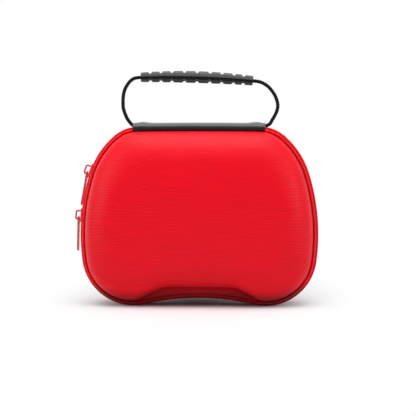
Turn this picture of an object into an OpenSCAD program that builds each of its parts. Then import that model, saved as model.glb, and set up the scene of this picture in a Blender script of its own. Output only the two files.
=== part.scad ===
// Controller carrying case: two domed moulded shells, a zip round the sides
// and bottom, a hinge strip across the top and a cord handle with a grip.
// X to the right, Z up, the opening front shell towards -Y, feet on z = 0.

/* [Body] */
// Width of the closed case across the zip
body_w = 190; // [178:1:206]
// Height from the feet to the top of the zip ring
body_h = 143.2; // [138:0.1:150]
// Depth of the closed case, face to face
body_d = 75; // [68:1:90]
// Thickness of the moulded shell
wall = 3.6; // [3:0.1:4.2]
// Width of the rim lip around the dome
lip_w = 4.2; // [3.8:0.1:5]
// Width of the rim lip under the hinge strip
lip_top = 3.9; // [3.4:0.1:4.2]
// Height of the notch in the dome's bottom edge
notch_z = 15.4; // [12:0.1:18]
// Width of the notch at its flat top
notch_w = 59; // [40:1:64]
// Rounding of the dome at the sides
round_side = 20; // [14:1:26]
// Rounding of the dome at the top and bottom
round_top = 27; // [18:1:32]
// Height of the gentle crown on each face
crown = 3.5; // [1:0.5:5]

/* [Hinge strip] */
// Length of the strip across the top
strip_l = 105.2; // [96:0.2:107]
// Height of the strip above the zip ring
strip_h = 2.8; // [2.4:0.1:4]
// Extra height of the bulges over the cord ends
bulge_h = 0.9; // [0:0.1:1.5]

/* [Zip] */
// Spacing of the teeth on one row
tooth_pitch = 4; // [3.4:0.1:6]
// Width of one tooth along the chain
tooth_w = 1.4; // [0.8:0.1:1.5]
// Length of the slider bodies
slider_l = 11; // [9:0.5:12]
// Half the width of the slider bodies
slider_hw = 4.2; // [3.9:0.1:4.8]
// Length of the pull tabs from their pivot
tab_l = 27.2; // [20:0.2:30]
// Thickness of the pull tabs
tab_t = 1.4; // [1:0.1:1.5]
// Lean of the upper pull tab out of the vertical
upper_lean = 10; // [9:0.1:14]
// Lean of the lower pull tab out of the vertical
lower_lean = 1.2; // [0:0.1:4]

/* [Handle] */
// Diameter of the handle cord
cord_d = 2.9; // [2.4:0.1:3.2]
// Length of the grip
grip_l = 89.8; // [80:0.2:92]
// Height of the grip at its middle
grip_h = 9.4; // [8:0.1:11]
// Depth of the grip, front to back
grip_d = 9.8; // [8:0.1:12]
// Radius of the notches across the grip
notch_r = 1.6; // [1:0.1:2]

/* [Lid pocket] */
// Height of the mesh pocket's top edge
pocket_top = 84; // [60:1:100]
// Width of the elastic hem on the pocket
hem_w = 6; // [4:0.5:10]

/* [Hidden] */

$fn = 48;
red = [0.83, 0.06, 0.12];
deep_red = [0.62, 0.03, 0.08];
grey = [0.22, 0.22, 0.23];
black = [0.05, 0.05, 0.055];

// Arcs of the zip ring from the top centre to the feet, as radius and angles
k = body_w / 190;
rt = 3168 * k;
rc = 29.3 * k;
rh = 64.4 * k;
rs = 161.4 * k;
rb = 41;
rf = 20;
ra = 187;
foot = 3;
fa = 0.884;
fb = 39.6;
fc = 72.36;
drop = rt * (1 - cos(fa)) + rc * (cos(fa) - cos(fb)) + rh * (cos(fb) - cos(fc));
fd = acos((body_h - drop - rs * cos(fc) - rb) / (rb - rs));

// Centres of the arcs on the right-hand side
ct = [0, body_h - rt];
cc = ct + (rt - rc) * [sin(fa), cos(fa)];
ch = cc + (rc - rh) * [sin(fb), cos(fb)];
cs = ch + (rh - rs) * [sin(fc), cos(fc)];
cb = cs + (rs - rb) * [sin(fd), cos(fd)];
cf = [cb.x - foot, rf];
fg = asin(cf.x / (rf + ra));
ca = [0, rf - (rf + ra) * cos(fg)];

function polar(r, f) = r * [sin(f), cos(f)];
function arc(c, r, f0, f1, n, skip = 1) = [for (i = [skip:n]) c + polar(r, f0 + (f1 - f0) * i / n)];
function ease(v) = let (e = min(1, max(0, v))) e * e * (3 - 2 * e);

// Right half of the ring, t inside the zip line, then the whole ring
function half_ring(t) = concat(
    arc(ct, rt - t, 0, fa, 3, 0),
    arc(cc, rc - t, fa, fb, 5),
    arc(ch, rh - t, fb, fc, 5),
    arc(cs, rs - t, fc, fd, 6),
    arc(cb, rb - t, fd, 180, 10),
    [for (i = [1, 2]) [cb.x - foot * i / 3, t]],
    arc(cf, rf - t, 180, 180 + fg, 3, 0),
    arc(ca, ra + t, fg, 0, 4));
function ring(t) = let (h = half_ring(t), n = len(h)) concat(h, [for (i = [n - 2:-1:1]) [-h[i].x, h[i].y]]);

// Levels of the rim, measured in from the zip line and out from the zip plane
seat = 1.7;
lip_y = 14.1;
edge_y = 0.8;
pipe_y0 = 7.6;
pipe_y1 = 9.6;
dome_y = 12.9;
rim_in = seat + wall;
half_d = body_d / 2;
top_f = 78;
mid = [0, 0.51 * body_h];

// Ring of the lip or the dome's edge: it closes up under the strip, and the
// share cut of the notch is taken out of its bottom
function notch_line(x) = notch_z - max(0, abs(x) - notch_w / 2) * 0.56;
function lip_ring(u, cut = 0, over = 0) = let (
    near = ring(u + over), far = ring(seat + (u - seat) * (lip_top - seat) / (lip_w - seat) + over))
    [for (i = [0:len(near) - 1]) let (p = near[i], q = p + (far[i] - p) * ease((p.y - body_h + 28) / 26))
        q.y < 30 ? [q.x, q.y + cut * max(0, notch_line(q.x) + over - q.y)] : q];

lip_steps = [[3.75, dome_y + 0.7], [3.1, lip_y], [2.4, lip_y - 0.15], [1.85, lip_y - 0.7],
             [seat, lip_y - 1.6], [seat, edge_y]];

dome_ring = lip_ring(lip_w, 1);
inner_ring = lip_ring(lip_w, 1, wall);

// Outline of the face, scaled in from the dome's edge and rounded at its corners
face_w = body_w / 2 - lip_w - round_side;
face_h = body_h / 2 - lip_w - round_top;
face_ring = [for (p = lip_ring(lip_w)) let (
    d = [(p - mid).x * face_w / (face_w + round_side), (p - mid).y * face_h / (face_h + round_top)],
    e = 1 / norm([d.x / face_w, d.y / face_h])) mid + d * (0.45 + 0.55 * e)];

function blend(a, b, w) = [for (i = [0:len(a) - 1]) a[i] * (1 - w) + b[i] * w];
function at_y(r, y) = [for (p = r) [p.x, y, p.y]];
function fillet(r0, y0, y1, f) = at_y(
    blend(r0, face_ring, (1 - cos(f)) / (1 - cos(top_f))),
    y0 + (y1 - y0) * sin(f) / sin(top_f));
function face(q, y) = at_y([for (p = face_ring) mid + (p - mid) * q], y - crown * q * q);

// Rings of one shell from the middle of its face, round the rim, to the inside
shell_rings = concat(
    [for (q = [0.25, 0.5, 0.75]) face(q, half_d)],
    [for (f = [top_f:-13:0]) fillet(dome_ring, dome_y, half_d - crown, f)],
    [for (s = lip_steps) at_y(lip_ring(s.x), s.y)],
    [at_y(ring(rim_in), edge_y), at_y(ring(rim_in), 9)],
    [for (f = [0, 26, 52, top_f]) fillet(inner_ring, 11.5, half_d - crown - wall, f)],
    [for (q = [0.6, 0.25]) face(q, half_d - wall)]);

// Closed skin over a list of rings, each end drawn to a point or left flat
module skin(rings, tips = []) {
    n = len(rings[0]);
    m = len(rings);
    pts = concat([for (r = rings) each r], tips);
    last = (m - 1) * n;
    walls = [for (j = [0:m - 2], i = [0:n - 1])
        let (a = j * n + i, b = j * n + (i + 1) % n) each [[a, b, a + n], [b, b + n, a + n]]];
    rungs = [for (i = [0:floor((n - 2) / 2)])
        concat([i, i + 1], n - 1 - i > i + 1 ? [n - 1 - i] : [], i > 0 ? [n - i] : [])];
    flat_ends = concat(
        [for (f = rungs) [for (i = [len(f) - 1:-1:0]) f[i]]],
        [for (f = rungs) [for (i = f) last + i]]);
    point_ends = [for (i = [0:n - 1])
        each [[(i + 1) % n, i, m * n], [last + i, last + (i + 1) % n, m * n + 1]]];
    polyhedron(pts, concat(walls, len(tips) == 0 ? flat_ends : point_ends), convexity = 6);
}

// Everything is drawn about the middle of the zip ring, then stood so that the
// whole object with its tabs is centred on the origin
mid_x = 2.65;
module placed() translate([mid_x, 0, 0]) children();

// Plate from y0 to y1, its outline drawn in X and Z
module slab(y0, y1) translate([0, y1, 0]) rotate([90, 0, 0]) linear_extrude(y1 - y0) children();

module band(u0, u1) difference() {
    polygon(ring(u0));
    polygon(ring(u1));
}

module open_band(u0, u1) difference() {
    band(u0, u1);
    translate([-strip_l / 2 - 0.4, body_h - 20]) square([strip_l + 0.8, 40]);
}

module chain_band(u0, u1) intersection() {
    band(u0, u1);
    translate([-body_w, -1]) square([2 * body_w, chain_z + 1]);
}

// Block along an arc of the left side, radii r, depths y, angles f from the top
module arc_block(c, r, y, f) translate([-c.x, 0, c.y]) rotate([90, 0, 0]) rotate([0, 0, 90 + f[0]])
    rotate_extrude(angle = f[1] - f[0], $fn = 360)
        translate([r[0], -y[1]]) square([r[1] - r[0], y[1] - y[0]]);

// Shells
module shell_half() skin(shell_rings, [[mid.x, half_d, mid.y], [mid.x, half_d - wall, mid.y]]);

module rear_shell() color(red) placed() shell_half();
module front_shell() color(red) placed() mirror([0, 1, 0]) shell_half();

// Piping that frames the zip and carries the case on its feet
module piping_half() {
    slab(pipe_y0, pipe_y1) open_band(0.5, seat);
    slab(pipe_y0 + 0.3, pipe_y1 - 0.3) open_band(0, seat);
}

module rear_piping() color(red) placed() piping_half();
module front_piping() color(red) placed() mirror([0, 1, 0]) piping_half();

// Zip tapes
tape_u = 0.9;
tape_y = 1.4;
module rear_tape() color(deep_red) placed() slab(tape_y, pipe_y0) open_band(tape_u, seat);
module front_tape() color(deep_red) placed() slab(-pipe_y0, -tape_y) open_band(tape_u, seat);

// Zip chain: a root along each tape with teeth that reach past the middle
chain_f = 43;
chain_z = ch.y + rh * cos(chain_f);
root_y = [1.7, 2.9];
tooth_reach = 0.9;
up_f = 71.2;
loop_l = 8;
pivot_s = 1.7;
pivot_r = 3;
low_gap = 3.8;
low_z = pivot(ch, rh, up_f).y - tab_l * cos(upper_lean) - loop_l / 2 - low_gap;
low_f = acos((low_z - cs.y) / (rs + pivot_r));
open_up = up_f + 5;
open_low = low_f - 2.6;
side_arcs = [[ch, rh, chain_f, fc], [cs, rs, fc, fd], [cb, rb, fd, 180], [cf, rf, 180, 180 + fg]];

function parted(c, f, left) = left && ((c == ch && f > open_up - 2) || (c == cs && f < open_low));
function row(c, r, f0, f1, off, dir) = let (n = round(abs(f1 - f0) * PI / 180 * r / tooth_pitch))
    [for (i = [0:n - 1]) [c, r * dir, f0 + (f1 - f0) * (i + off) / n]];
function teeth_at(off) = concat([for (a = side_arcs) each row(a[0], a[1], a[2], a[3], off, 1)],
    row(cb - [foot / 2, 0], rb, 180 - foot * 90 / PI / rb, 180 + foot * 90 / PI / rb, off, 0),
    row(ca, ra, fg, 0, off, -1));

// One tooth's outline standing on the ring at its place, shorter on the hollow arch
module tooth_2d(t) {
    c = t[0];
    r = abs(t[1]);
    at = c.x + (t[2] - 180) * PI / 180 * rb;
    if (t[1] == 0) translate([at - tooth_w / 2, 0.15]) square([tooth_w, 0.75]);
    if (t[1] > 0) translate(c) rotate(-t[2]) translate([-tooth_w / 2, r - 0.9]) square([tooth_w, 0.75]);
    if (t[1] < 0) translate(c) rotate(-t[2]) translate([-tooth_w / 2, r + 0.15]) square([tooth_w, 0.6]);
}

module teeth_2d(off, short) for (left = [false, true]) mirror([left ? 1 : 0, 0])
    for (t = teeth_at(left ? off : 1 - off)) if (parted(t[0], t[2], left) == short) tooth_2d(t);

module teeth_half(off) {
    slab(root_y[0], root_y[1]) chain_band(0.1, tape_u);
    slab(-tooth_reach, root_y[0] + 0.1) teeth_2d(off, false);
    slab(0.7, root_y[0] + 0.1) teeth_2d(off, true);
}

module rear_teeth() color(red) placed() teeth_half(0.25);
module front_teeth() color(red) placed() mirror([0, 1, 0]) teeth_half(0.75);

// Stops at the two ends of the chain
module end_stop() arc_block(ch, [rh - tape_u, rh + 0.3], [0.3, 3.3], [chain_f - 3.1, chain_f - 1.2]);
module left_end_stop() color(red) placed() end_stop();
module right_end_stop() color(red) placed() mirror([1, 0, 0]) end_stop();

// Slider bodies, curved to the arc they run along, with the loop for the tab
loop_hw = 1.1;

module loop_2d(l, h, r) {
    translate([-l / 2, 0]) square([l, h - r]);
    translate([-l / 2 + r, 0]) square([l - 2 * r, h]);
    for (s = [-1, 1]) translate([s * (l / 2 - r), h - r]) circle(r);
}

module slider_section(w, r) polygon([[r + 0.2, -w], [r + 0.9, -w], [r + 1.4, 0.7 - w], [r + 1.4, w - 0.7],
    [r + 0.9, w], [r - 0.7, w], [r - 0.7, 3.4], [r + 0.45, 3.4], [r + 0.45, -3.4], [r + 0.2, -3.4]]);

module slider_arc(c, r, w, f) translate([-c.x, 0, c.y]) rotate([90, 0, 0]) rotate([0, 0, 90 + f[0]])
    rotate_extrude(angle = f[1] - f[0], $fn = 360) mirror([0, 1]) slider_section(w, r);

// head is +1 when the wide end points down the chain, -1 when it points up
module slider(c, r, f, head) {
    deg = 180 / PI / r;
    h = slider_l / 2 * deg;
    slider_arc(c, r, slider_hw, head > 0 ? [f - 0.1 * h, f + h] : [f - h, f + 0.1 * h]);
    slider_arc(c, r, slider_hw - 0.5, head > 0 ? [f - h, f] : [f, f + h]);
    translate([-c.x, 0, c.y]) rotate([0, -f, 0]) slab(-loop_hw, loop_hw) difference() {
        translate([0, r + 1.2]) loop_2d(loop_l, 4.6, 1.9);
        translate([0, r + 1.4]) loop_2d(loop_l - 2.4, 3.2, 0.9);
    }
}

function pivot(c, r, f) = let (p = c + polar(r + pivot_r, f + pivot_s * 180 / PI / r)) [-p.x, p.y];

module pull_tab(p, lean) translate([p.x, 0, p.y]) rotate([0, lean, 0]) {
    rotate([90, 0, 90]) linear_extrude(tab_t, center = true) difference() {
        union() {
            polygon([[-2.75, 0], [2.75, 0], [3.1, 3.1 - tab_l], [-3.1, 3.1 - tab_l]]);
            translate([0, 3.1 - tab_l]) circle(3.1);
        }
        translate([-1.5, -6.8]) square([3, 6.8 - tab_t * 0.43]);
    }
    rotate([90, 0, 0]) cylinder(r = tab_t / 2, h = 5.5, center = true);
}

module upper_slider() color(red) placed() slider(ch, rh, up_f, 1);
module lower_slider() color(red) placed() slider(cs, rs, low_f, -1);
module upper_pull_tab() color(red) placed() pull_tab(pivot(ch, rh, up_f), upper_lean);
module lower_pull_tab() color(red) placed() pull_tab(pivot(cs, rs, low_f), lower_lean);

// Hinge strip: a padded band over both rims, bulged over the cord ends
cord_y = 3;
cord_z = body_h + 0.3;
crest = strip_h + 0.8;
strip_half = [[0, crest - 0.7], [5, crest * 0.955 - 0.7], [9, crest * 0.83 - 0.7], [12, crest * 0.6 - 0.7],
              [14, crest * 0.29 - 0.7], [14.9, -0.75], [14.8, -1.3], [14.4, -1.6], [13.9, 0.05 - seat]];
strip_other = [for (i = [len(strip_half) - 1:-1:1]) [-strip_half[i].x, strip_half[i].y]];
strip_section = concat(strip_half, strip_other);
top_line = arc(ct, rt, 0, fa, 3, 0);
strip_x = [0, 9, top_line[1].x, 27, top_line[2].x, strip_l / 2 - 13, strip_l / 2 - 10, strip_l / 2 - 7,
           strip_l / 2 - 4.5, strip_l / 2 - 2.5, strip_l / 2 - 1, strip_l / 2];
strip_stations = concat([for (i = [len(strip_x) - 1:-1:1]) -strip_x[i]], strip_x);
function puff(x) = let (e = strip_l / 2 - abs(x))
    bulge_h * exp(-pow((e - 7) / 5, 2)) - (e < 2.5 ? 0.04 * pow(2.5 - e, 2) : 0);
function strip_ring(x) = let (z = lookup(abs(x), top_line))
    [for (p = strip_section) [x, p.x, z + p.y + (p.y > 0 ? puff(x) : 0)]];

// Hem that hangs in the groove between the strip and the dome
hem_line = concat([for (x = strip_x) if (x < strip_l / 2 - 0.5) x], [strip_l / 2 - 0.3]);
module hem() for (m = [0, 1]) mirror([m, 0]) polygon(concat(
    [for (x = hem_line) [x, lookup(x, top_line) - 1]],
    [for (i = [len(hem_line) - 1:-1:0]) [hem_line[i], lookup(hem_line[i], top_line) - lip_top + 0.2]]));

module hinge_strip() color(grey) placed() difference() {
    union() {
        skin([for (x = strip_stations) strip_ring(x)]);
        slab(14.2, 14.8) hem();
        slab(-14.8, -14.2) hem();
    }
    for (s = [-1, 1]) translate([s * (strip_l / 2 - 3), cord_y, cord_z]) rotate([0, 90, 0])
        cylinder(d = cord_d + 0.2, h = 12, center = true, $fn = 24);
}

// Grip: an arched bar with notched edges, bored for the cord
grip_mid = [-2.3, cord_z + 38.8];
grip_tilt = 1.8;
grip_r = 660;
grip_f = grip_l / 2 * 180 / PI / grip_r;
notch_at = grip_l * [-0.4165, -0.3218, -0.2238, -0.1114, 0.0011, 0.1169, 0.2227, 0.3285, 0.4154];
grip_half = [for (p = [[6, 2], [4.4, 3], [3.2, 4], [0.5, 4.9], [-0.5, 4.9], [-3, 4], [-4.2, 3], [-6, 2]])
    [p.x * grip_h / 9.4, p.y * grip_d / 9.8]];
grip_outline = concat(grip_half, [for (i = [len(grip_half) - 1:-1:0]) [grip_half[i].x, -grip_half[i].y]]);
function on_grip(s, h) = polar(grip_r + h, s * 180 / PI / grip_r) - [0, grip_r];
function grip_top(s) = grip_h * (0.51 - 0.1 * pow(2 * s / grip_l, 2));
function grip_low(s) = grip_h * (0.1 * pow(2 * s / grip_l, 2) - 0.49);
grip_steps = [for (i = [-12:12]) grip_l / 2 * i / 12];

module grip_side() difference() {
    polygon(concat(
        [for (s = grip_steps) on_grip(s, grip_top(s))],
        [for (i = [len(grip_steps) - 1:-1:0]) let (s = grip_steps[i]) on_grip(s, grip_low(s))]));
    for (s = notch_at) {
        translate(on_grip(s, grip_top(s) + 0.25)) circle(notch_r, $fn = 24);
        translate(on_grip(s, grip_low(s) - 0.25)) circle(notch_r, $fn = 24);
    }
}

module grip_sweep(a) translate([0, 0, -grip_r]) rotate([90, 0, 0]) rotate([0, 0, 90 - a])
    rotate_extrude(angle = 2 * a, $fn = 900) children();

module bored_grip() difference() {
    intersection() {
        slab(-grip_d, grip_d) grip_side();
        grip_sweep(grip_f + 0.5) translate([grip_r, 0]) polygon(grip_outline);
    }
    grip_sweep(grip_f + 1) translate([grip_r, 0]) circle(d = cord_d + 0.3, $fn = 24);
}

module handle_grip() color(grey) placed()
    translate([grip_mid.x, cord_y, grip_mid.y]) rotate([0, grip_tilt, 0]) bored_grip();

// Handle cord: from one end bulge, through the grip, to the other
route_left = [[-50, 0], [-52.8, 0], [-54.6, 0.9], [-56.2, 2.6], [-58.3, 5.5], [-59.6, 8.2], [-60.9, 11.6],
              [-61.7, 15], [-61.8, 19], [-61.7, 22.5], [-61.1, 26.5], [-59.8, 30.2], [-57.4, 34.1],
              [-54.4, 37], [-51, 38.4]];
route_right = [[47, 35.3], [51, 33.8], [55, 31], [58, 27.5], [60.3, 23.8], [61.8, 19.8], [62.4, 15.9],
               [61.6, 11.8], [60, 8.2], [57.8, 4.4], [56.4, 2], [54.6, 0.6], [52.8, 0], [50, 0]];
function tilted(p, a) = [p.x * cos(a) + p.y * sin(a), p.y * cos(a) - p.x * sin(a)];
in_grip = [for (i = [-6:6]) grip_mid - [0, cord_z] + tilted(on_grip(i * grip_l / 12.6, 0), grip_tilt)];
sewn_in = strip_l / 2 - 8;
cord_route = concat([[-sewn_in, 0]], route_left, in_grip, route_right, [[sewn_in, 0]]);

function cord_dir(i) = let (
    a = cord_route[max(0, i - 1)],
    b = cord_route[min(len(cord_route) - 1, i + 1)]) (b - a) / norm(b - a);
function cord_ring(i) = let (p = cord_route[i], d = cord_dir(i), r = cord_d / 2) [for (f = [0:45:315])
    [p.x - d.y * r * cos(f), cord_y + r * sin(f), cord_z + p.y + d.x * r * cos(f)]];

module handle_cord() color(black) placed() skin([for (i = [0:len(cord_route) - 1]) cord_ring(i)]);

// Bindings that cover the seam inside each rim
module rear_binding() color(deep_red) placed() slab(1, 7.4) band(rim_in, rim_in + 1);
module front_binding() color(deep_red) placed() slab(-7.4, -1) band(rim_in, rim_in + 1);

// Mesh pocket across the lower part of the lid, with its elastic hem
module lid_panel(z0, z1) intersection() {
    polygon(ring(rim_in));
    translate([-body_w, z0]) square([2 * body_w, z1 - z0]);
}

module mesh_pocket() color(black) placed() slab(-9, -8.4) lid_panel(0, pocket_top);
module pocket_hem() color(black) placed() slab(-9, -7.8) lid_panel(pocket_top, pocket_top + hem_w);

rear_shell();
front_shell();
rear_piping();
front_piping();
rear_tape();
front_tape();
rear_teeth();
front_teeth();
left_end_stop();
right_end_stop();
upper_slider();
upper_pull_tab();
lower_slider();
lower_pull_tab();
hinge_strip();
handle_cord();
handle_grip();
rear_binding();
front_binding();
mesh_pocket();
pocket_hem();
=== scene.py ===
import math

import bmesh
import bpy
import numpy as np
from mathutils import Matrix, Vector


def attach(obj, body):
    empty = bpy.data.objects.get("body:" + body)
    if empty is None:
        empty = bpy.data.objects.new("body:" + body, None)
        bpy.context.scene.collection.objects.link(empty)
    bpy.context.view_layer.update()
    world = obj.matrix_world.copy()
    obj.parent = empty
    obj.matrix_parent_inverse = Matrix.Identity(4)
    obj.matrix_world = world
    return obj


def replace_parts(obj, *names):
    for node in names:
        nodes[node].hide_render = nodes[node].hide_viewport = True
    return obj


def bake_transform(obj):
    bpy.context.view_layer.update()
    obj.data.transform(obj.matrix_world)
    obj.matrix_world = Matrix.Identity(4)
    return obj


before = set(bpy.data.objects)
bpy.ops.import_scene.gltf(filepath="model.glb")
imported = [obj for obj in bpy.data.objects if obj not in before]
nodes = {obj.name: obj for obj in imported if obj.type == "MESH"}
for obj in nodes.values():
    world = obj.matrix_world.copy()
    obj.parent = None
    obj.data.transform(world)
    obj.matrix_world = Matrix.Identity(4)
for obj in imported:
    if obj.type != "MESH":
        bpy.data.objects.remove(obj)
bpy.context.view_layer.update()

# Sizes of the part, in millimetres, as part.scad has them
MID_X = 2.65
BODY_W, BODY_H, BODY_D = 190.0, 143.2, 75.0
WALL, LIP_W, LIP_TOP = 3.6, 4.2, 3.9
NOTCH_Z, NOTCH_W, NOTCH_SLOPE = 15.4, 59.0, 0.56
ROUND_SIDE, ROUND_TOP, CROWN = 20.0, 27.0, 3.5
STRIP_L, STRIP_H, BULGE_H = 105.2, 2.8, 0.9
CORD_D, GRIP_L, GRIP_H, GRIP_D, NOTCH_R = 2.9, 89.8, 9.4, 9.8, 1.6
SEAT, EDGE_Y, DOME_Y = 1.7, 0.8, 12.9
TAPE_U, TAPE_Y, PIPE_Y0, PIPE_Y1 = 0.9, 1.4, 7.6, 9.6
CORD_Y, CORD_Z = 3.0, BODY_H + 0.3
STRANDS, LAY = 4, 8.0
RIM_IN = SEAT + WALL
HALF_D = BODY_D / 2
SEWN_IN = 8.0
FACE_MID = np.array([0, 0.51 * BODY_H])
FILLET_END = 78.0

# Arcs of the zip ring's right half, from the middle of the top: radii in mm, and the degrees where they end
TOP_R, CORNER_R, SHOULDER_R, SIDE_R = 3168.0, 29.3, 64.4, 161.4
LOW_R, FOOT_R, ARCH_R = 41.0, 20.0, 187.0
FOOT_FLAT = 3.0
TOP_END, CORNER_END, SHOULDER_END = 0.884, 39.6, 72.36
CHAIN_FROM = 43.0


# Zip ring: each station is a centre, a radius, a side and an angle from the top
def direction(f):
    return np.array([math.sin(math.radians(f)), math.cos(math.radians(f))])


top_at = np.array([0, BODY_H - TOP_R])
corner_at = top_at + (TOP_R - CORNER_R) * direction(TOP_END)
shoulder_at = corner_at + (CORNER_R - SHOULDER_R) * direction(CORNER_END)
side_at = shoulder_at + (SHOULDER_R - SIDE_R) * direction(SHOULDER_END)
side_end = math.degrees(math.acos((side_at[1] - LOW_R) / (LOW_R - SIDE_R)))
low_at = side_at + (SIDE_R - LOW_R) * direction(side_end)
foot_at = np.array([low_at[0] - FOOT_FLAT, FOOT_R])
foot_turn = math.degrees(math.asin(foot_at[0] / (FOOT_R + ARCH_R)))
arch_at = np.array([0, FOOT_R - (FOOT_R + ARCH_R) * math.cos(math.radians(foot_turn))])


def half_stations(first=0, angle=0.0):
    """Stations of the right half from arc number `first` and from `angle` on it."""
    upper = [(top_at, TOP_R, 0, TOP_END, 8),
             (corner_at, CORNER_R, TOP_END, CORNER_END, 14),
             (shoulder_at, SHOULDER_R, CORNER_END, SHOULDER_END, 14),
             (side_at, SIDE_R, SHOULDER_END, side_end, 16),
             (low_at, LOW_R, side_end, 180, 26)]
    out = []
    for n, (c, r, f0, f1, steps) in enumerate(upper):
        if n < first:
            continue
        if n == first:
            f0 = max(f0, angle)
        out += [(*c, r, 1, f0 + (f1 - f0) * i / steps) for i in range(0 if n == first else 1, steps + 1)]
    out += [(low_at[0] - FOOT_FLAT * i / 4, low_at[1], LOW_R, 1, 180.0) for i in range(1, 4)]
    out += [(*foot_at, FOOT_R, 1, 180 + foot_turn * i / 9) for i in range(10)]
    out += [(*arch_at, ARCH_R, -1, foot_turn * (1 - i / 11)) for i in range(1, 12)]
    return np.array(out)


def both_sides(h, closed):
    """The stations of the right half, then the left half's, with the side of each."""
    left = h[::-1][1:] if not closed else h[::-1][1:-1]
    m = np.concatenate([np.ones(len(h)), -np.ones(len(left))])
    return np.concatenate([h, left]), m


CLOSED = both_sides(half_stations(), True)


def ring(t, stations=None):
    """The ring's line at a depth t inside its outer edge."""
    h, m = stations or CLOSED
    f = np.radians(h[:, 4])
    r = h[:, 2] - h[:, 3] * t
    return np.stack([m * (h[:, 0] + r * np.sin(f)), h[:, 1] + r * np.cos(f)], 1)


def outward(stations):
    h, m = stations
    f = np.radians(h[:, 4])
    return np.stack([m * h[:, 3] * np.sin(f), h[:, 3] * np.cos(f)], 1)


def open_ring(x):
    """The ring without its top, from x on the right corner to the same place on the left."""
    f = math.degrees(math.asin((x - corner_at[0]) / CORNER_R))
    return both_sides(half_stations(1, f), False)


def ease(v):
    e = np.clip(v, 0, 1)
    return e * e * (3 - 2 * e)


def soft_max(d, k):
    return (d + np.sqrt(d * d + k * k)) / 2


# Shell: rings from the middle of the face, over the dome, round the rim, to the inside
def notch_line(x):
    return NOTCH_Z - soft_max(np.abs(x) - NOTCH_W / 2, 2.5) * NOTCH_SLOPE


def lip_ring(u, cut=0.0, over=0.0):
    """The ring at depth u, wider along the top, raised to the notch by the share `cut`."""
    near = ring(u + over)
    far = ring(SEAT + (u - SEAT) * (LIP_TOP - SEAT) / (LIP_W - SEAT) + over)
    q = near + (far - near) * ease((near[:, 1] - BODY_H + 28) / 26)[:, None]
    low = q[:, 1] < 30
    q[low, 1] += cut * soft_max(notch_line(q[low, 0]) + over - q[low, 1], 1.4)
    return q


dome_ring = lip_ring(LIP_W, 1)
inner_ring = lip_ring(LIP_W, 1, WALL)
face_w = BODY_W / 2 - LIP_W - ROUND_SIDE
face_h = BODY_H / 2 - LIP_W - ROUND_TOP


def make_face_ring():
    d = (lip_ring(LIP_W) - FACE_MID) * [face_w / (face_w + ROUND_SIDE), face_h / (face_h + ROUND_TOP)]
    e = 1 / np.linalg.norm(d / [face_w, face_h], axis=1)
    return FACE_MID + d * (0.45 + 0.55 * e)[:, None]


face_ring = make_face_ring()


def at_y(r, y):
    return np.stack([r[:, 0], np.full(len(r), y), r[:, 1]], 1)


def fillet(r0, y0, y1, f):
    """A ring on the rounded side, from ring r0 at 0 degrees to the face's edge at FILLET_END."""
    s, c = direction(f)
    w = (1 - c) / (1 - direction(FILLET_END)[1])
    return at_y(r0 * (1 - w) + face_ring * w, y0 + (y1 - y0) * s / direction(FILLET_END)[0])


def face(q, y):
    """The face's edge shrunk to the share q, on the crowned face."""
    return at_y(FACE_MID + (face_ring - FACE_MID) * q, y - CROWN * q * q)


# Objects from rings and faces
def shifted(points):
    p = np.array(points, float).reshape(-1, 3)
    return (p + [MID_X, 0, 0]) / 1000


def new_piece(name, points, faces, materials, uv=None, slots=None, sharp=None):
    me = bpy.data.meshes.new(name)
    me.from_pydata(shifted(points).tolist(), [], [list(map(int, f)) for f in faces])
    for m in materials:
        me.materials.append(m)
    me.polygons.foreach_set("use_smooth", [True] * len(me.polygons))
    if slots is not None:
        me.polygons.foreach_set("material_index", [int(s) for s in slots])
    bm = bmesh.new()
    bm.from_mesh(me)
    if bm.calc_volume(signed=True) < 0:
        bmesh.ops.reverse_faces(bm, faces=bm.faces)
    bm.to_mesh(me)
    bm.free()
    if uv is not None:
        layer = me.uv_layers.new(name="cloth")
        index = np.zeros(len(me.loops), np.int32)
        me.loops.foreach_get("vertex_index", index)
        layer.data.foreach_set("uv", np.asarray(uv, np.float32)[index].ravel())
    if sharp:
        me.set_sharp_from_angle(angle=math.radians(sharp))
    me.update()
    ob = bpy.data.objects.new(name, me)
    bpy.context.scene.collection.objects.link(ob)
    return ob


def tube_faces(m, n):
    """Faces between m rings of n points, and the two end caps last."""
    faces = []
    for j in range(m - 1):
        k = j + 1
        faces += [[j * n + i, j * n + (i + 1) % n, k * n + (i + 1) % n, k * n + i] for i in range(n)]
    return faces + [list(range(n))[::-1], [(m - 1) * n + i for i in range(n)]]


def lengths(points):
    return np.concatenate([[0], np.cumsum(np.linalg.norm(np.diff(points, axis=0), axis=1))])


def sweep_ring(name, profile, stations, materials, sharp=None):
    """A closed profile of (u, y) points carried along the zip ring."""
    cols = [at_y(ring(u, stations), y) for u, y in profile]
    pts = np.stack(cols, 1)
    m, n = pts.shape[:2]
    along = np.repeat(lengths(pts[:, 0]), n)
    round_it = np.tile(lengths(np.array(profile)), m)
    uv = np.stack([along, round_it], 1)
    return new_piece(name, pts, tube_faces(m, n), materials, uv=uv, sharp=sharp)


def rounded_box(u0, u1, y0, y1, r, steps=4):
    out = []
    corners = [(u1 - r, y1 - r, 0), (u0 + r, y1 - r, 90), (u0 + r, y0 + r, 180), (u1 - r, y0 + r, 270)]
    for cu, cy, a in corners:
        for i in range(steps + 1):
            f = math.radians(a + 90 * i / steps)
            out.append((cu + r * math.cos(f), cy + r * math.sin(f)))
    return out


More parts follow.
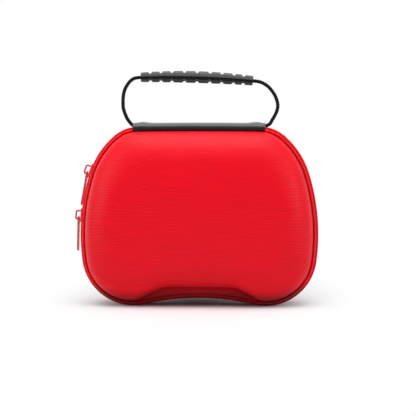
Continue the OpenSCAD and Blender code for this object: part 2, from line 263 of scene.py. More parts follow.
# Materials
class Finish:
    """A small helper that builds one node material."""

    def __init__(self, name, rough=0.5, spec=0.5, sheen=0.0, coat=0.0):
        self.mat = bpy.data.materials.new(name)
        self.mat.use_nodes = True
        self.tree = self.mat.node_tree
        self.tree.nodes.clear()
        self.out = self.tree.nodes.new("ShaderNodeOutputMaterial")
        self.shader = self.tree.nodes.new("ShaderNodeBsdfPrincipled")
        self.tree.links.new(self.shader.outputs[0], self.out.inputs[0])
        for key, value in (("Roughness", rough), ("Specular IOR Level", spec), ("Sheen Weight", sheen),
                           ("Coat Weight", coat), ("Sheen Roughness", 0.45)):
            self.shader.inputs[key].default_value = value
        self.height = None

    def node(self, kind, inputs=(), **props):
        n = self.tree.nodes.new(kind)
        for k, v in props.items():
            setattr(n, k, v)
        for key, v in dict(inputs).items():
            if hasattr(v, "is_output"):
                self.tree.links.new(v, n.inputs[key])
            else:
                n.inputs[key].default_value = v
        return n

    def math(self, op, a, b=0.0, c=0.0):
        return self.node("ShaderNodeMath", {0: a, 1: b, 2: c}, operation=op).outputs[0]

    def coords(self, kind="Object", scale=(1, 1, 1)):
        if kind == "UV":
            src = self.node("ShaderNodeUVMap", uv_map="cloth").outputs[0]
        else:
            src = self.node("ShaderNodeTexCoord").outputs[kind]
        return self.node("ShaderNodeMapping", {"Vector": src, "Scale": scale}).outputs[0]

    def noise(self, vector, scale, detail=3.0, rough=0.5):
        inputs = {"Vector": vector, "Scale": scale, "Detail": detail, "Roughness": rough}
        return self.node("ShaderNodeTexNoise", inputs).outputs[0]

    def vector(self, op, a, b=(0, 0, 0), c=(0, 0, 0)):
        return self.node("ShaderNodeVectorMath", {0: a, 1: b, 2: c}, operation=op).outputs

    def length(self, vector):
        return self.vector("LENGTH", vector)["Value"]

    def sine(self, value, period):
        a = self.math("MULTIPLY", value, 2 * math.pi / period)
        return self.math("MULTIPLY_ADD", self.math("SINE", a), 0.5, 0.5)

    def ramp(self, value, stops):
        r = self.node("ShaderNodeValToRGB", {"Fac": value})
        while len(r.color_ramp.elements) < len(stops):
            r.color_ramp.elements.new(0.5)
        for e, (at, color) in zip(r.color_ramp.elements, stops):
            e.position = at
            e.color = (*color, 1)
        return r.outputs[0]

    def color(self, value):
        self.tree.links.new(value, self.shader.inputs["Base Color"])

    def rough_by(self, value, low, high):
        r = self.node("ShaderNodeMapRange", {"Value": value, "To Min": low, "To Max": high})
        self.tree.links.new(r.outputs[0], self.shader.inputs["Roughness"])

    def bump(self, height, distance, strength=1.0):
        args = {"Height": height, "Distance": distance, "Strength": strength}
        if self.height is not None:
            args["Normal"] = self.height
        self.height = self.node("ShaderNodeBump", args).outputs[0]
        self.tree.links.new(self.height, self.shader.inputs["Normal"])

    def split(self, vector):
        return self.node("ShaderNodeSeparateXYZ", {0: vector}).outputs


def scaled(c, k):
    return tuple(min(1.0, v * k) for v in c)


RED = (0.76, 0.001, 0.011)


def cloth_red(name, color=RED, rib=1.7, streaks=0.16):
    """Ribbed stretch fabric with broken streaks and a faint sheen, with painted shade that darkens it low
    down by the zip.
    """
    m = Finish(name, rough=0.38, spec=0.16, sheen=0.2)
    m.shader.inputs["Sheen Tint"].default_value = (1.0, 0.5, 0.52, 1)
    m.shader.inputs["Sheen Roughness"].default_value = 0.22
    u, v = m.split(m.coords("UV"))[:2]
    drift = m.noise(m.coords("UV", (0.02, 0.05, 1)), 1.0, 2.0)
    v_bent = m.math("MULTIPLY_ADD", drift, 3.2, v)
    ribs = m.sine(v_bent, rib)
    fine = m.sine(v, rib * 0.37)
    streak = m.noise(m.coords("UV", (0.035, 0.9, 1)), 1.0, 4.0, 0.6)
    mixed = m.math("ADD", m.math("MULTIPLY", ribs, 0.32), m.math("MULTIPLY", streak, 0.85))
    dark, pale = scaled(color, 1 - streaks), scaled(color, 1 + streaks)
    streaked = m.ramp(mixed, [(0.25, dark), (0.62, color), (1.0, pale)])
    # Painted shade: the colour darkens close to the zip's plane low down, under the arch and at the feet.
    from_zip = m.length(m.vector("MULTIPLY", m.coords(), (0, 30, 45))[0])
    shade = m.ramp(from_zip, [(0.55, (0.34, 0.34, 0.34)), (1.0, (1, 1, 1))])
    m.color(m.vector("MULTIPLY", streaked, shade)[0])
    m.rough_by(streak, 0.33, 0.43)
    m.bump(ribs, 0.00009, 0.4)
    m.bump(m.math("MULTIPLY", fine, m.sine(u, 0.7)), 0.00008, 0.5)
    return m.mat


def woven(name, color, pitch=0.9, sheen=0.15):
    """Diagonal weave on a UV map in millimetres. A piece without that map shows its plain colour."""
    m = Finish(name, rough=0.7, spec=0.25, sheen=sheen)
    u, v = m.split(m.coords("UV"))[:2]
    warp = m.sine(m.math("ADD", u, v), pitch)
    weft = m.sine(m.math("SUBTRACT", u, v), pitch)
    both = m.math("MULTIPLY", warp, weft)
    tone = m.math("ADD", both, m.noise(m.coords("UV"), 0.4))
    m.color(m.ramp(tone, [(0.3, scaled(color, 0.75)), (1.0, scaled(color, 1.25))]))
    m.bump(both, 0.00015, 0.7)
    return m.mat


def plastic(name, color, rough, coat=0.0, spec=0.5):
    """Moulded or painted surface with fine grain and slight unevenness."""
    m = Finish(name, rough=rough, spec=spec, coat=coat)
    at = m.coords()
    spots = m.noise(at, 90.0, 4.0)
    m.color(m.ramp(spots, [(0.3, scaled(color, 0.9)), (0.7, scaled(color, 1.1))]))
    m.rough_by(m.noise(at, 104.0), rough - 0.08, rough + 0.1)
    m.bump(m.noise(at, 2600.0), 0.00003, 0.6)
    return m.mat


def pebbled(name, color, rough, cells=900.0, depth=0.00012, spec=0.5):
    """Coated fabric or rubber with a pebbled grain."""
    m = Finish(name, rough=rough, spec=spec)
    at = m.coords()
    cell = m.node("ShaderNodeTexVoronoi", {"Vector": at, "Scale": cells}, feature="SMOOTH_F1").outputs[0]
    tone = m.noise(at, 60.0, 3.0)
    m.color(m.ramp(tone, [(0.3, scaled(color, 0.86)), (0.7, scaled(color, 1.14))]))
    m.rough_by(tone, rough - 0.05, rough + 0.07)
    m.bump(cell, depth, 0.35)
    return m.mat


def net(name, color):
    """Knitted mesh with small holes."""
    m = Finish(name, rough=0.75, spec=0.2, sheen=0.1)
    place = m.split(m.coords())
    rising = m.sine(m.math("ADD", place["X"], place["Z"]), 0.0028)
    falling = m.sine(m.math("SUBTRACT", place["X"], place["Z"]), 0.0028)
    knots = m.math("MULTIPLY", rising, falling)
    hole = m.math("GREATER_THAN", knots, 0.42)
    m.color(m.ramp(m.noise(m.coords(), 300.0), [(0.3, scaled(color, 0.8)), (0.7, scaled(color, 1.2))]))
    clear = m.node("ShaderNodeBsdfTransparent")
    mix = m.node("ShaderNodeMixShader", {0: hole, 1: m.shader.outputs[0], 2: clear.outputs[0]})
    m.tree.links.new(mix.outputs[0], m.out.inputs[0])
    m.bump(knots, 0.0002, 0.5)
    return m.mat


def braid(name, color):
    """Braided cord: strands that cross, on a UV map of length and angle."""
    m = Finish(name, rough=0.65, spec=0.15)
    u, v = m.split(m.coords("UV"))[:2]
    round_it = m.math("MULTIPLY", v, LAY / STRANDS)
    one = m.sine(m.math("ADD", u, round_it), LAY / STRANDS)
    two = m.sine(m.math("SUBTRACT", u, round_it), LAY / STRANDS)
    top = m.math("MAXIMUM", one, two)
    fibre = m.sine(m.math("ADD", u, m.math("MULTIPLY", v, 5.0)), 0.3)
    tone = m.math("ADD", m.math("MULTIPLY", top, 0.7), m.math("MULTIPLY", fibre, 0.3))
    m.color(m.ramp(tone, [(0.2, scaled(color, 0.45)), (0.95, scaled(color, 1.5))]))
    m.bump(fibre, 0.00008, 0.5)
    return m.mat


shell_cloth = cloth_red("red ribbed fabric")
trim_cloth = cloth_red("red trim fabric", scaled(RED, 1.05), rib=0.9, streaks=0.1)
tape_cloth = woven("red zip tape", (0.42, 0.006, 0.016))
binding_cloth = woven("red binding tape", (0.36, 0.006, 0.014), pitch=1.2)
lining = woven("dark lining", (0.03, 0.03, 0.032), pitch=1.1, sheen=0.3)
teeth_paint = plastic("red zip teeth", (0.55, 0.006, 0.018), rough=0.35)
slider_paint = plastic("red slider paint", (0.6, 0.01, 0.03), rough=0.3, coat=0.3)
strip_skin = pebbled("grey coated strip", (0.07, 0.07, 0.072), 0.36)
# Painted shade: a near-black copy of the strip's coating for its lower front edge and hem.
strip_painted_shade = pebbled("strip coating, painted shade", (0.006, 0.005, 0.006), 0.5, spec=0.2)
grip_rubber = pebbled("grey grip rubber", (0.034, 0.034, 0.038), 0.42, 1500.0, 0.00006)
# Painted shade: a near-black copy of the grip rubber for the grip's sides round its middle.
grip_painted_shade = pebbled("grip rubber, painted shade", (0.004, 0.004, 0.0045), 0.5, 1500.0, 0.00004, spec=0.15)
cord_braid = braid("black braided cord", (0.002, 0.002, 0.0022))
thread = plastic("dark thread", (0.03, 0.03, 0.032), rough=0.7, spec=0.2)
red_thread = plastic("red thread", (0.6, 0.008, 0.02), rough=0.65, spec=0.25)
net_black = net("black net", (0.02, 0.02, 0.022))
hem_black = woven("black elastic", (0.025, 0.025, 0.027), pitch=1.4)


# Shells, each one skin from the middle of its face to the middle of its inside
# The rim's section from the dome's foot over the lip to the zip: depth in the ring, distance from the zip
RIM = [(4.15, 12.3), (3.85, 12.4), (3.7, 13.2), (3.4, 13.85), (3.0, 14.1), (2.5, 14.0),
       (2.05, 13.55), (1.8, 12.9), (1.7, 12.2), (1.7, 9.7), (1.7, 1.0), (1.9, 0.8)]


def stretched_cloth(points):
    """Where each point lies on the flat cloth: ribs run across, sag to the sides and wrap the flanks."""
    x, z = points[:, 0], points[:, 2] - FACE_MID[1]
    flank = np.clip(HALF_D - CROWN - np.abs(points[:, 1]), 0, None)
    across = x + np.clip(x / 60, -1, 1) * 0.5 * flank
    upwards = z * (1 - 0.00006 * x ** 2) + np.clip(z / 50, -1, 1) * 0.65 * flank
    return np.stack([across, upwards], 1)


def shell(name, side, node):
    outer = [face(q, HALF_D) for q in np.linspace(0.12, 0.9, 8)]
    outer += [fillet(dome_ring, DOME_Y + 0.3, HALF_D - CROWN, f) for f in np.linspace(FILLET_END, 0, 21)]
    rim = [at_y(lip_ring(u), y) for u, y in RIM]
    inner = [at_y(ring(RIM_IN), EDGE_Y), at_y(ring(RIM_IN), 9.0)]
    inner += [fillet(inner_ring, 11.5, HALF_D - CROWN - WALL, f) for f in np.linspace(0, FILLET_END, 9)]
    inner += [face(q, HALF_D - WALL) for q in (0.8, 0.5, 0.25)]
    rings = np.array(outer + rim + inner)
    m, n = rings.shape[:2]
    tips = [[FACE_MID[0], HALF_D, FACE_MID[1]], [FACE_MID[0], HALF_D - WALL, FACE_MID[1]]]
    pts = np.concatenate([rings.reshape(-1, 3), tips]) * [1, side, 1]
    faces = tube_faces(m, n)[:-2]
    faces += [[(i + 1) % n, i, m * n] for i in range(n)]
    faces += [[(m - 1) * n + i, (m - 1) * n + (i + 1) % n, m * n + 1] for i in range(n)]
    slots = [min(f) // n >= len(outer) + len(rim) for f in faces]
    uv = stretched_cloth(pts)
    ob = new_piece(name, pts, faces, [shell_cloth, lining], uv=uv, slots=slots)
    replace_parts(ob, node)
    return ob


front_shell = shell("front_shell_cover", -1, "front_shell")
rear_shell = shell("rear_shell_cover", 1, "rear_shell")
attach(front_shell, "lid")
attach(rear_shell, "base")

# Piping and tape, each carried along the ring from one end of the strip to the other
HALVES = ((1, "base", "rear"), (-1, "lid", "front"))
pipe_path = open_ring(STRIP_L / 2 + 0.2)
for side, body, word in HALVES:
    prof = [(u, side * y) for u, y in rounded_box(0.0, SEAT, PIPE_Y0, PIPE_Y1, 0.8)]
    ob = sweep_ring(word + "_piping_cord", prof, pipe_path, [trim_cloth])
    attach(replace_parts(ob, word + "_piping"), body)
    prof = [(u, side * y) for u, y in rounded_box(TAPE_U, SEAT, TAPE_Y, PIPE_Y0, 0.2, 2)]
    ob = sweep_ring(word + "_zip_tape", prof, pipe_path, [tape_cloth], sharp=50)
    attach(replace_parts(ob, word + "_tape"), body)


# Rows of teeth and stitches: one small piece is set along a line by geometry nodes
def row_group():
    g = bpy.data.node_groups.new("Row of pieces", "GeometryNodeTree")
    g.interface.new_socket("Geometry", in_out="INPUT", socket_type="NodeSocketGeometry")
    piece = g.interface.new_socket("Piece", in_out="INPUT", socket_type="NodeSocketObject")
    vary = g.interface.new_socket("Size variation", in_out="INPUT", socket_type="NodeSocketFloat")
    finish = g.interface.new_socket("Finish", in_out="INPUT", socket_type="NodeSocketMaterial")
    g.interface.new_socket("Geometry", in_out="OUTPUT", socket_type="NodeSocketGeometry")
    n, link = g.nodes, g.links.new
    gin, gout = n.new("NodeGroupInput"), n.new("NodeGroupOutput")
    info = n.new("GeometryNodeObjectInfo")
    turn = n.new("GeometryNodeInputNamedAttribute")
    turn.data_type = "FLOAT_VECTOR"
    turn.inputs["Name"].default_value = "turn"
    low, high = n.new("ShaderNodeMath"), n.new("ShaderNodeMath")
    low.operation, high.operation = "SUBTRACT", "ADD"
    low.inputs[0].default_value = high.inputs[0].default_value = 1.0
    rand = n.new("FunctionNodeRandomValue")
    rand.data_type = "FLOAT"
    rand.inputs["Seed"].default_value = 7
    inst = n.new("GeometryNodeInstanceOnPoints")
    real = n.new("GeometryNodeRealizeInstances")
    paint = n.new("GeometryNodeSetMaterial")
    link(gin.outputs["Piece"], info.inputs["Object"])
    link(gin.outputs["Size variation"], low.inputs[1])
    link(gin.outputs["Size variation"], high.inputs[1])
    link(low.outputs[0], rand.inputs[2])
    link(high.outputs[0], rand.inputs[3])
    link(gin.outputs["Geometry"], inst.inputs["Points"])
    link(info.outputs["Geometry"], inst.inputs["Instance"])
    link(turn.outputs[0], inst.inputs["Rotation"])
    link(rand.outputs[1], inst.inputs["Scale"])
    link(inst.outputs[0], real.inputs[0])
    link(real.outputs[0], paint.inputs["Geometry"])
    link(gin.outputs["Finish"], paint.inputs["Material"])
    link(paint.outputs[0], gout.inputs[0])
    return g, piece.identifier, vary.identifier, finish.identifier


ROW, ROW_PIECE, ROW_VARY, ROW_FINISH = row_group()


def set_row(name, places, turns, source, material, vary=0.03):
    """Copies of the source object stood at places (mm), each with its own Euler turn."""
    me = bpy.data.meshes.new(name)
    me.from_pydata(shifted(places).tolist(), [], [])
    attr = me.attributes.new("turn", "FLOAT_VECTOR", "POINT")
    attr.data.foreach_set("vector", np.asarray(turns, np.float32).ravel())
    ob = bpy.data.objects.new(name, me)
    bpy.context.scene.collection.objects.link(ob)
    mod = ob.modifiers.new("row", "NODES")
    mod.node_group = ROW
    mod[ROW_PIECE], mod[ROW_VARY], mod[ROW_FINISH] = source, vary, material
    bpy.context.view_layer.update()
    made = bpy.data.meshes.new_from_object(ob.evaluated_get(bpy.context.evaluated_depsgraph_get()))
    made.name = name
    ob.modifiers.clear()
    ob.data = made
    bpy.data.meshes.remove(me)
    return ob


def small_piece(name, outline, depth, bevel):
    """A bevelled plate about the origin, its outline in X and Y, in millimetres."""
    bm = bmesh.new()
    low = [bm.verts.new((x / 1000, y / 1000, -depth / 2000)) for x, y in outline]
    base = bm.faces.new(low[::-1])
    made = bmesh.ops.extrude_face_region(bm, geom=[base])
    high = [v for v in made["geom"] if isinstance(v, bmesh.types.BMVert)]
    bmesh.ops.translate(bm, verts=high, vec=(0, 0, depth / 1000))
    bmesh.ops.recalc_face_normals(bm, faces=bm.faces)
    bmesh.ops.bevel(bm, geom=list(bm.edges), offset=bevel / 1000, segments=1, affect="EDGES")
    if bm.calc_volume(signed=True) < 0:
        bmesh.ops.reverse_faces(bm, faces=bm.faces)
    me = bpy.data.meshes.new(name)
    bm.to_mesh(me)
    bm.free()
    me.polygons.foreach_set("use_smooth", [True] * len(me.polygons))
    ob = bpy.data.objects.new(name, me)
    bpy.context.scene.collection.objects.link(ob)
    return ob


def along(stations, t, pitch, off):
    """Points a pitch apart on the ring line at depth t, with the turn that faces them out."""
    p, o = ring(t, stations), outward(stations)
    s = lengths(p)
    at = np.arange(off * pitch, s[-1], pitch)
    x, z = np.interp(at, s, p[:, 0]), np.interp(at, s, p[:, 1])
    nx, nz = np.interp(at, s, o[:, 0]), np.interp(at, s, o[:, 1])
    turns = np.zeros((len(at), 3))
    turns[:, 1] = np.arctan2(nx, nz)
    return np.stack([x, z], 1), turns


# Half of a tooth's outline, from its root in the tape to its tip, and the pitch of one row
HALF_TOOTH = [(0.42, 3.0), (0.42, 1.1), (0.3, 0.8), (0.48, 0.1), (0.42, -0.6)]
TOOTH = [(-x, y) for x, y in HALF_TOOTH] + [(0, -0.9)] + HALF_TOOTH[::-1]
TOOTH_PITCH = 2.0
OPEN_FROM, OPEN_TO = 75, 103

chain_path = both_sides(half_stations(2, CHAIN_FROM + 0.6), False)
for (side, body, word), off in zip(HALVES, (0.25, 0.75)):
    tooth = small_piece("tooth", [(x, side * y) for x, y in TOOTH], 0.85, 0.1)
    spots, turns = along(chain_path, 0.5, TOOTH_PITCH, off)
    apart = (spots[:, 0] < 0) & (spots[:, 1] > OPEN_FROM) & (spots[:, 1] < OPEN_TO)
    places = np.stack([spots[:, 0], np.where(apart, side * 1.0, 0.0), spots[:, 1]], 1)
    ob = set_row(word + "_tooth_row", places, turns, tooth, teeth_paint, 0.02)
    bpy.data.objects.remove(tooth)
    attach(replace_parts(ob, word + "_teeth"), body)

# Two rows of stitches along each tape
stitch = small_piece("stitch", [(-0.9, -0.16), (0.9, -0.16), (0.9, 0.16), (-0.9, 0.16)], 0.25, 0.08)
spots, turns = along(both_sides(half_stations(1, 20), False), TAPE_U - 0.02, 2.6, 0.5)
for side, body, word in HALVES:
    places = np.concatenate([at_y(spots, side * y) for y in (4.2, 6.8)])
    ob = set_row(word + "_tape_stitches", places, np.concatenate([turns, turns]), stitch, red_thread, 0.05)
    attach(ob, body)


# Hinge strip: a padded band with a hem that hangs in the groove
def top_line(x):
    """Height of the ring's top, level past the end of its flat arc."""
    return top_at[1] + np.sqrt(TOP_R ** 2 - np.minimum(np.abs(x), TOP_R * direction(TOP_END)[0]) ** 2)


def puff(x):
    """The bulge over each cord end, and the dip where the end is stitched."""
    e = STRIP_L / 2 - np.abs(x)
    return BULGE_H * np.exp(-((e - 7) / 5) ** 2) - 0.3 * np.exp(-((e - 2.3) / 0.7) ** 2)


# The strip's crown in section: distance from its middle, share of its height
STRIP_CROWN = [(0, 1), (2.5, 0.988), (5, 0.955), (7, 0.905), (9, 0.83),
               (10.6, 0.735), (12, 0.62), (13.2, 0.47), (14.1, 0.29), (14.6, 0.13)]
# Its hem in section, down into the groove and back under the strip: distance, height over the ring's top
STRIP_HEM = [(14.85, -0.7), (14.95, -1.3), (14.9, -2.3), (14.75, 0.35 - LIP_TOP), (14.5, 0.2 - LIP_TOP),
             (14.25, 0.4 - LIP_TOP), (14.2, -2.3), (13.9, -1.64), (7, -1.64)]
STRIP_END = STRIP_L / 2


def rounded_end(from_end, r=0.5):
    """How far a round edge of radius r draws in at a distance from the end."""
    return r - math.sqrt(max(0, r * r - (r - from_end) ** 2)) if from_end < r else 0


def blend_strip(ob):
    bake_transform(ob)


def strip():
    half = [(y, h * (STRIP_H + 0.8) - 0.7, h) for y, h in STRIP_CROWN] + [(y, z, 0) for y, z in STRIP_HEM]
    sec = np.array(half + [(-y, z, h) for y, z, h in half[:0:-1]])
    xs = np.concatenate([np.linspace(0, 38, 20), np.linspace(38.8, STRIP_END - 0.7, 26),
                         [STRIP_END - 0.35, STRIP_END - 0.1, STRIP_END]])
    xs = np.concatenate([-xs[:0:-1], xs])
    rings = []
    for x in xs:
        tuck = rounded_end(STRIP_END - abs(x))
        y = sec[:, 0] * (1 - tuck / 15)
        z = top_line(x) + sec[:, 1] + sec[:, 2] * puff(x)
        z = z - tuck * np.clip(sec[:, 2] * 2, 0, 1)
        rings.append(np.stack([np.full(len(y), x), y, z], 1))
    rings = np.array(rings)
    m, n = rings.shape[:2]
    faces = tube_faces(m, n)
    hem = [min(i % n, n - 1 - i % n) >= 8 for i in range(len(faces) - 2)] + [False, False]
    # Painted shade: the strip's lower front edge and its hem in the groove take the near-black copy of its
    # coating.
    ob = new_piece("hinge_strip_cover", rings, faces, [strip_skin, strip_painted_shade], slots=hem, sharp=70)
    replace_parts(ob, "hinge_strip")
    blend_strip(ob)


def strip_stitches():
    """A row of stitches across the crown at each end of the strip."""
    from_mid, share = np.array(STRIP_CROWN).T
    height = share * (STRIP_H + 0.8) - 0.7
    places, turns = [], []
    for x in (2.3 - STRIP_END, STRIP_END - 2.3):
        for y in np.arange(-12, 12.1, 2.4):
            z = top_line(x) + np.interp(abs(y), from_mid, height)
            z += np.interp(abs(y), from_mid, share) * puff(x)
            rise = np.interp(abs(y) + 0.3, from_mid, height) - np.interp(abs(y) - 0.3, from_mid, height)
            places.append([x, y, z + 0.02])
            turns.append([0, math.atan2(rise, 0.6) * np.sign(y), math.pi / 2])
    blend_strip(set_row("strip_end_stitches", places, turns, stitch, thread, 0.05))


strip()
strip_stitches()
bpy.data.objects.remove(stitch)


# Grip
GRIP_MID = np.array([-2.3, CORD_Z + 38.8])
TILT = math.radians(1.8)
GRIP_R = 660.0
NOTCH_AT = [GRIP_L * a for a in (-0.4165, -0.3218, -0.2238, -0.1114, 0.0011, 0.1169, 0.2227, 0.3285, 0.4154)]
ROUND_NOTCH = (-1.04, -1, -0.94, -0.82, -0.6, -0.3, 0, 0.3, 0.6, 0.82, 0.94, 1, 1.04)
# The grip's width in section: heights over the cord, and how far each side draws in there
WIDTH_AT = [-6, -4.2, -3, -0.5, 0.5, 3.2, 4.4, 6]
DRAWN_IN = [2.9, 1.9, 0.9, 0, 0, 0.9, 1.9, 2.9]


def grip_place(s, h):
    """X and Z at a length s along the grip's bent middle line and a height h over it."""
    f = s / GRIP_R
    x, z = (GRIP_R + h) * np.sin(f), (GRIP_R + h) * np.cos(f) - GRIP_R
    turned = [x * math.cos(TILT) + z * math.sin(TILT), z * math.cos(TILT) - x * math.sin(TILT)]
    return GRIP_MID[0] + turned[0], GRIP_MID[1] + turned[1]


def grip_section(s):
    """One side of the grip's section at length s, from its top to its underside."""
    edge = rounded_end(GRIP_L / 2 - abs(s))
    near = min(abs(s - c) for c in NOTCH_AT)
    cut = max(0, math.sqrt(NOTCH_R ** 2 - near ** 2) - 0.25) if near < NOTCH_R else 0
    thinner = 0.1 * (2 * s / GRIP_L) ** 2
    top = GRIP_H * (0.51 - thinner) - edge - cut
    low = GRIP_H * (thinner - 0.49) + edge + cut

    def w(h):
        return GRIP_D / 2 - np.interp(h, WIDTH_AT, DRAWN_IN) - edge

    side = [(0, top), (w(top) * 0.55, top)]
    side += [(w(top) - 0.55, top - 0.03), (w(top) - 0.15, top - 0.2), (w(top - 0.6), top - 0.6)]
    side += [(w(h), h) for h in np.linspace(top - 0.6, 0.55, 5)[1:]]
    side += [(w(0.3) - 0.06, 0.3), (w(0) - 0.45, 0.05), (w(-0.3) - 0.06, -0.2)]
    side += [(w(h), h) for h in np.linspace(-0.45, low + 0.6, 5)]
    return side + [(w(low) - 0.15, low + 0.2), (w(low) - 0.55, low + 0.03), (w(low) * 0.55, low), (0, low)]


def grip():
    end = GRIP_L / 2
    places = [-end, -end + 0.12, -end + 0.3, end - 0.3, end - 0.12, end]
    places += list(np.linspace(-end + 0.6, end - 0.6, 90))
    places += [c + NOTCH_R * d for c in NOTCH_AT for d in ROUND_NOTCH]
    rings = []
    for s in np.unique(np.round(places, 3)):
        side = grip_section(s)
        loop = side + [(-y, h) for y, h in side[-2:0:-1]]
        at = [(y, *grip_place(s, h)) for y, h in loop]
        rings.append([[x, CORD_Y + y, z] for y, x, z in at])
    rings = np.array(rings)
    m, n = rings.shape[:2]
    faces = tube_faces(m, n)
    # Painted shade: the faces round the middle of the grip's sides, by its parting line, take the near-black
    # copy of the rubber.
    band = [8 <= min(i % n, n - 1 - i % n) <= 13 for i in range(len(faces) - 2)] + [False, False]
    ob = new_piece("handle_grip_rubber", rings, faces, [grip_rubber, grip_painted_shade], slots=band, sharp=38)
    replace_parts(ob, "handle_grip")
    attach(ob, "handle")


grip()

# The cord's route from the strip's left end up to the grip, and from the grip down to the right end:
# X from the middle and height over the cord's ends
ROUTE_LEFT = [[-50, 0], [-52.8, 0], [-54.6, 0.9], [-56.2, 2.6], [-58.3, 5.5], [-59.6, 8.2], [-60.9, 11.6],
              [-61.7, 15], [-61.8, 19], [-61.7, 22.5], [-61.1, 26.5], [-59.8, 30.2], [-57.4, 34.1],
              [-54.4, 37], [-51, 38.4]]
ROUTE_RIGHT = [[47, 35.3], [51, 33.8], [55, 31], [58, 27.5], [60.3, 23.8], [61.8, 19.8], [62.4, 15.9],
               [61.6, 11.8], [60, 8.2], [57.8, 4.4], [56.4, 2], [54.6, 0.6], [52.8, 0], [50, 0]]


def smooth_line(points, step):
    """A curve through the points, resampled at even steps."""
    p = np.array(points, float)
    p = np.concatenate([[2 * p[0] - p[1]], p, [2 * p[-1] - p[-2]]])
    out = []
    for i in range(1, len(p) - 2):
        for t in np.linspace(0, 1, 24, endpoint=False):
            a, b, c, d = p[i - 1], p[i], p[i + 1], p[i + 2]
            bend, twist = 2 * a - 5 * b + 4 * c - d, 3 * b - a - 3 * c + d
            out.append(0.5 * (2 * b + (c - a) * t + bend * t * t + twist * t ** 3))
    out = np.array(out + [p[-2]])
    s = lengths(out)
    at = np.linspace(0, s[-1], int(s[-1] / step) + 1)
    return np.stack([np.interp(at, s, out[:, k]) for k in (0, 1)], 1)


def cord():
    middle = [list(np.array(grip_place(i * GRIP_L / 12.6, 0)) - [0, CORD_Z]) for i in range(-6, 7)]
    ends = [[SEWN_IN - STRIP_END, 0]], [[STRIP_END - SEWN_IN, 0]]
    p = smooth_line(ends[0] + ROUTE_LEFT + middle + ROUTE_RIGHT + ends[1], 0.34)
    d = np.gradient(p, axis=0)
    d /= np.linalg.norm(d, axis=1)[:, None]
    s = lengths(p)
    k = 20
    f = np.arange(k) * 2 * math.pi / k
    wound = 2 * math.pi * s[:, None] / LAY
    one = np.cos(STRANDS * (f + wound) / 2) ** 2
    two = np.cos(STRANDS * (f - wound) / 2) ** 2
    r = CORD_D / 2 * (0.9 + 0.12 * np.maximum(one, two))
    x = p[:, 0][:, None] - d[:, 1][:, None] * r * np.cos(f)
    y = CORD_Y + r * np.sin(f)
    z = CORD_Z + p[:, 1][:, None] + d[:, 0][:, None] * r * np.cos(f)
    pts = np.stack([x, y, z], 2)
    uv = np.stack([np.repeat(s, k), np.tile(f / (2 * math.pi) * STRANDS, len(s))], 1)
    ob = new_piece("handle_cord_braid", pts, tube_faces(len(s), k), [cord_braid], uv=uv)
    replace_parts(ob, "handle_cord")
    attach(ob, "handle")


cord()


# CAD nodes that are shown as they are, with their own finish and softened edges
def dress(names, material, bevel=0.0):
    for name in names:
        ob = nodes[name]
        ob.data.materials.clear()
        ob.data.materials.append(material)
        ob.data.polygons.foreach_set("use_smooth", [True] * len(ob.data.polygons))
        ob.data.set_sharp_from_angle(angle=math.radians(35))
        if bevel:
            mod = ob.modifiers.new("edges", "BEVEL")
            mod.width = bevel
            mod.segments = 2
            mod.limit_method = "ANGLE"
            mod.angle_limit = math.radians(40)
            mod.harden_normals = False


dress(["upper_slider", "lower_slider"], slider_paint, 0.00018)
dress(["upper_pull_tab", "lower_pull_tab"], slider_paint, 0.0002)
dress(["left_end_stop", "right_end_stop"], teeth_paint, 0.0001)
dress(["rear_binding", "front_binding"], binding_cloth)
dress(["mesh_pocket"], net_black)
dress(["pocket_hem"], hem_black, 0.0003)


# Floor, light and camera
def seen_as(tree, lit, seen, amount=1.0):
    """Camera, glossy and transmission rays see `seen` by the amount given, all other rays `lit`."""
    def joined(operation, a, b):
        n = tree.nodes.new("ShaderNodeMath")
        n.operation = operation
        for socket, value in zip(n.inputs, (a, b)):
            if hasattr(value, "is_output"):
                tree.links.new(value, socket)
            else:
                socket.default_value = value
        return n.outputs[0]

    path = tree.nodes.new("ShaderNodeLightPath").outputs
    share = joined("MAXIMUM", path["Is Camera Ray"], path["Is Glossy Ray"])
    share = joined("MAXIMUM", share, path["Is Transmission Ray"])
    mix = tree.nodes.new("ShaderNodeMixShader")
    tree.links.new(joined("MULTIPLY", share, amount), mix.inputs[0])
    tree.links.new(lit, mix.inputs[1])
    tree.links.new(seen, mix.inputs[2])
    return mix.outputs[0]


def floor_finish():
    """A white floor with a painted shadow, a darker colour close under the case, that also keeps the case's
    real shadow and turns plain white away from it.
    """
    m = Finish("floor white", rough=0.6, spec=0.0)
    spot = m.vector("MULTIPLY_ADD", m.coords(), (2.1, 1, 0), (0, -0.08, 0))[0]
    far = m.length(spot)
    # Painted shadow: the floor's colour goes dark close under the case.
    m.color(m.ramp(far, [(0.05, (0.2, 0.2, 0.205)), (0.1, (0.74, 0.74, 0.75))]))
    limits = {"Value": far, "From Min": 0.13, "From Max": 0.28}
    away = m.node("ShaderNodeMapRange", limits, interpolation_type="SMOOTHSTEP").outputs[0]
    plain = m.node("ShaderNodeEmission", {"Color": (1, 1, 1, 1), "Strength": 1.0}).outputs[0]
    m.tree.links.new(seen_as(m.tree, m.shader.outputs[0], plain, away), m.out.inputs[0])
    return m.mat


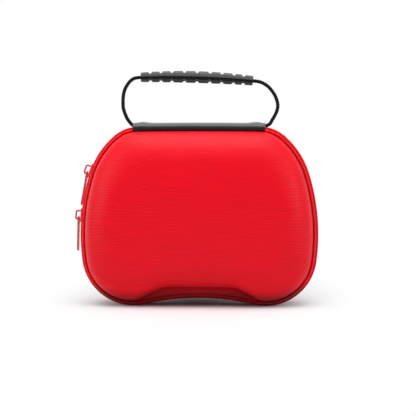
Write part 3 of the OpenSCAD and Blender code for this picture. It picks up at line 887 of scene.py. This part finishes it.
def floor_and_world():
    bpy.ops.mesh.primitive_plane_add(size=8, location=(0, 0, 0))
    floor = bpy.context.object
    floor.name = "floor"
    floor.data.materials.append(floor_finish())

    world = bpy.data.worlds.new("studio")
    bpy.context.scene.world = world
    world.use_nodes = True
    tree = world.node_tree
    tree.nodes.clear()
    soft, white = tree.nodes.new("ShaderNodeBackground"), tree.nodes.new("ShaderNodeBackground")
    for light in (soft, white):
        light.inputs["Color"].default_value = (1, 1, 1, 1)
        light.inputs["Strength"].default_value = 1.0
    facing = tree.nodes.new("ShaderNodeSeparateXYZ")
    tree.links.new(tree.nodes.new("ShaderNodeTexCoord").outputs["Generated"], facing.inputs[0])
    dim = tree.nodes.new("ShaderNodeMapRange")
    for key, value in (("From Min", 0.0), ("From Max", 1.0), ("To Min", 0.05), ("To Max", 0.55)):
        dim.inputs[key].default_value = value
    tree.links.new(facing.outputs["Z"], dim.inputs["Value"])
    tree.links.new(dim.outputs[0], soft.inputs["Strength"])
    out = tree.nodes.new("ShaderNodeOutputWorld")
    tree.links.new(seen_as(tree, soft.outputs[0], white.outputs[0]), out.inputs[0])


def face_towards(ob, where, target):
    bpy.context.scene.collection.objects.link(ob)
    ob.location = where
    ob.rotation_mode = "QUATERNION"
    ob.rotation_quaternion = (Vector(target) - Vector(where)).to_track_quat("-Z", "Y")


def softbox(name, where, target, size, power):
    data = bpy.data.lights.new(name, "AREA")
    data.shape = "RECTANGLE"
    data.size, data.size_y = size
    data.energy = power
    face_towards(bpy.data.objects.new(name, data), where, target)


def camera(distance=1.4, width=0.3307, turn=math.radians(3.0), tilt=math.radians(3.0)):
    """A camera whose picture spans the given width in metres at the case."""
    cam = bpy.data.objects.new("camera", bpy.data.cameras.new("camera"))
    target = Vector(((MID_X + 7.3) / 1000, -0.012, 0.0783))
    back = Vector((math.sin(turn) * math.cos(tilt), -math.cos(turn) * math.cos(tilt), math.sin(tilt)))
    face_towards(cam, target + back * distance, target)
    cam.data.sensor_width = 36.0
    cam.data.lens = cam.data.sensor_width * distance / width
    cam.data.clip_start, cam.data.clip_end = 0.05, 30
    bpy.context.scene.camera = cam


floor_and_world()
softbox("top softbox", (0, -0.22, 0.95), (0, -0.1, 0.08), (1.0, 0.75), 8.7)
softbox("left softbox", (-1.05, -0.55, 0.42), (0, 0, 0.08), (0.6, 0.8), 4.9)
softbox("right softbox", (1.05, -0.55, 0.42), (0, 0, 0.08), (0.6, 0.8), 4.4)
camera()
bpy.context.scene.view_settings.view_transform = "Standard"
